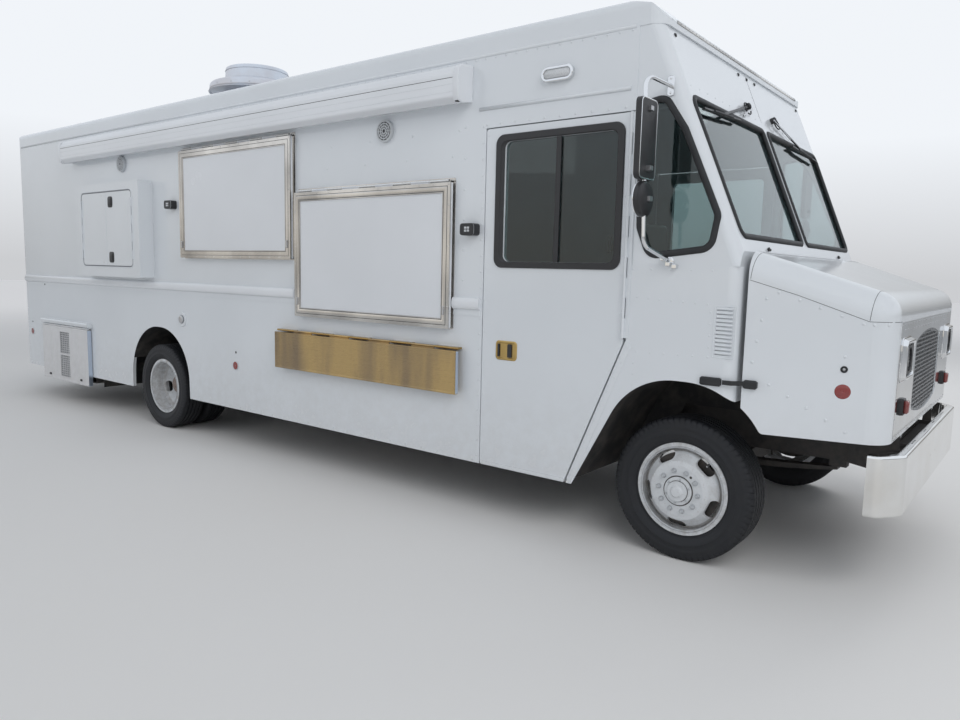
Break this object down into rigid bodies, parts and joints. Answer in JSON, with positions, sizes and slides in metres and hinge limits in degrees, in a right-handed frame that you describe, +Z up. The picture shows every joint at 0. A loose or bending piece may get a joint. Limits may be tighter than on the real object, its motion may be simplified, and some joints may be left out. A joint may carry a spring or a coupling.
{
  "type": "food truck",
  "caption": "Walk-in van food truck with two serving windows, awning cassette, fold-down shelf, tilting hood and twin rear wheels.",
  "frame": {"origin": "on the ground, midway between the faces of the two bumpers and on the centre line", "axes": "+X forward, +Y to the driver's (left) side, +Z up"},
  "size_m": [9.558, 3.08, 3.3899],
  "materials": {
    "body_paint": "gloss",
    "flap_panel": "gloss",
    "door_plastic": "satin",
    "awning_white": "gloss",
    "bumper_paint": "gloss",
    "fittings": "matt",
    "glass": "clear",
    "chassis_black": "satin",
    "cast_iron": "rough",
    "exhaust_steel": "dull",
    "tank_steel": "satin",
    "floor_metal": "matt",
    "liner_black": "matt",
    "cab_plastic": "matt",
    "seat_vinyl": "satin",
    "hinge_steel": "satin",
    "chrome": "polished",
    "lamp_amber": "gloss",
    "mirror_black": "satin",
    "fan_aluminium": "satin",
    "frame_aluminium": "polished",
    "shelf_steel": "brushed",
    "grille_steel": "satin",
    "wheel_paint": "satin",
    "tyre": "matt"
  },
  "bodies": {
    "root": {"awning_cassette": "awning_white", "belt_rails": "body_paint", "body_fittings": "fittings", "cab_glass": "glass", "cabinet": "body_paint", "chassis_frame": "chassis_black", "cowl": "body_paint", "dashboard": "cab_plastic", "driver_seat": "seat_vinyl", "engine_block": "cast_iron", "exhaust": "exhaust_steel", "fixed_hinges": "hinge_steel", "floor": "floor_metal", "front_axle": "chassis_black", "front_bumper": "bumper_paint", "fuel_tank": "tank_steel", "generator_box": "chassis_black", "leaf_springs": "chassis_black", "mirror_arms": "chrome", "mirror_heads": "mirror_black", "rear_axle": "chassis_black", "rear_bumper": "bumper_paint", "rear_wall": "body_paint", "roof": "body_paint", "roof_fan": "fan_aluminium", "serving_frames": "frame_aluminium", "steering_wheel": "cab_plastic", "wall_left": "body_paint", "wall_right": "body_paint", "wheel_wells": "liner_black", "windshield_panel": "body_paint", "wipers": "mirror_black"},
    "hood": {"hood": "body_paint", "grille": "grille_steel", "headlamps": "chrome", "turn_lamps": "lamp_amber"},
    "entry_door": {"entry_door": "body_paint", "entry_door_glass": "glass"},
    "driver_door": {"driver_door": "body_paint", "driver_door_glass": "glass"},
    "rear_door_right": {"rear_door_right": "body_paint", "rear_glass_right": "glass"},
    "rear_door_left": {"rear_door_left": "body_paint", "rear_glass_left": "glass"},
    "serving_flap_rear": {"serving_flap_rear": "flap_panel"},
    "serving_flap_front": {"serving_flap_front": "flap_panel"},
    "counter_shelf": {"counter_shelf": "shelf_steel"},
    "cabinet_door_front": {"cabinet_door_front": "body_paint"},
    "cabinet_door_rear": {"cabinet_door_rear": "body_paint"},
    "generator_door": {"generator_door": "door_plastic"},
    "knuckle_right": {"knuckle_right": "cast_iron"},
    "knuckle_left": {"knuckle_left": "cast_iron"},
    "front_wheel_right": {"front_wheel_right": "wheel_paint", "front_tyre_right": "tyre"},
    "front_wheel_left": {"front_wheel_left": "wheel_paint", "front_tyre_left": "tyre"},
    "rear_wheels_right": {"rear_wheels_right": "wheel_paint", "rear_tyres_right": "tyre"},
    "rear_wheels_left": {"rear_wheels_left": "wheel_paint", "rear_tyres_left": "tyre"}
  },
  "joints": [
    {"name": "steer_right", "type": "hinge", "parent": "root", "child": "knuckle_right", "pos_m": [3.721, -0.85, 0.404], "axis": [0, 0, 1], "range_deg": [-35, 35]},
    {"name": "steer_left", "type": "hinge", "parent": "root", "child": "knuckle_left", "pos_m": [3.721, 0.85, 0.404], "axis": [0, 0, 1], "range_deg": [-35, 35]},
    {"name": "front_wheel_right_spin", "type": "hinge", "parent": "knuckle_right", "child": "front_wheel_right", "pos_m": [3.721, -0.992, 0.404], "axis": [0, 1, 0], "continuous": true},
    {"name": "front_wheel_left_spin", "type": "hinge", "parent": "knuckle_left", "child": "front_wheel_left", "pos_m": [3.721, 0.992, 0.404], "axis": [0, 1, 0], "continuous": true},
    {"name": "rear_wheels_right_spin", "type": "hinge", "parent": "root", "child": "rear_wheels_right", "pos_m": [-1.499, -0.976, 0.404], "axis": [0, 1, 0], "continuous": true},
    {"name": "rear_wheels_left_spin", "type": "hinge", "parent": "root", "child": "rear_wheels_left", "pos_m": [-1.499, 0.976, 0.404], "axis": [0, 1, 0], "continuous": true},
    {"name": "hood_tilt", "type": "hinge", "parent": "root", "child": "hood", "pos_m": [4.671, 0, 0.778], "axis": [0, 1, 0], "range_deg": [0, 50]},
    {"name": "entry_door_swing", "type": "hinge", "parent": "root", "child": "entry_door", "pos_m": [3.403, -1.251, 1.8], "axis": [0, 0, 1], "range_deg": [0, 90]},
    {"name": "driver_door_swing", "type": "hinge", "parent": "root", "child": "driver_door", "pos_m": [3.403, 1.251, 1.8], "axis": [0, 0, -1], "range_deg": [0, 90]},
    {"name": "rear_door_right_swing", "type": "hinge", "parent": "root", "child": "rear_door_right", "pos_m": [-4.54, -0.5635, 1.7], "axis": [0, 0, 1], "range_deg": [0, 110]},
    {"name": "rear_door_left_swing", "type": "hinge", "parent": "root", "child": "rear_door_left", "pos_m": [-4.54, 0.5635, 1.7], "axis": [0, 0, -1], "range_deg": [0, 110]},
    {"name": "serving_flap_rear_lift", "type": "hinge", "parent": "root", "child": "serving_flap_rear", "pos_m": [-0.2105, -1.27, 2.579], "axis": [-1, 0, 0], "range_deg": [0, 90]},
    {"name": "serving_flap_front_lift", "type": "hinge", "parent": "root", "child": "serving_flap_front", "pos_m": [1.3975, -1.27, 2.149], "axis": [-1, 0, 0], "range_deg": [0, 90]},
    {"name": "counter_shelf_fold", "type": "hinge", "parent": "root", "child": "counter_shelf", "pos_m": [1.328, -1.28, 1.082], "axis": [-1, 0, 0], "range_deg": [0, 90]},
    {"name": "cabinet_door_front_swing", "type": "hinge", "parent": "root", "child": "cabinet_door_front", "pos_m": [-1.669, -1.388, 1.9], "axis": [0, 0, 1], "range_deg": [0, 110]},
    {"name": "cabinet_door_rear_swing", "type": "hinge", "parent": "root", "child": "cabinet_door_rear", "pos_m": [-2.669, -1.388, 1.9], "axis": [0, 0, -1], "range_deg": [0, 110]},
    {"name": "generator_door_lift", "type": "hinge", "parent": "root", "child": "generator_door", "pos_m": [-3.418, -1.275, 0.866], "axis": [-1, 0, 0], "range_deg": [0, 90]}
  ],
  "couplings": [
    {"joint": "steer_left", "follows": "steer_right", "ratio": 1}
  ]
}
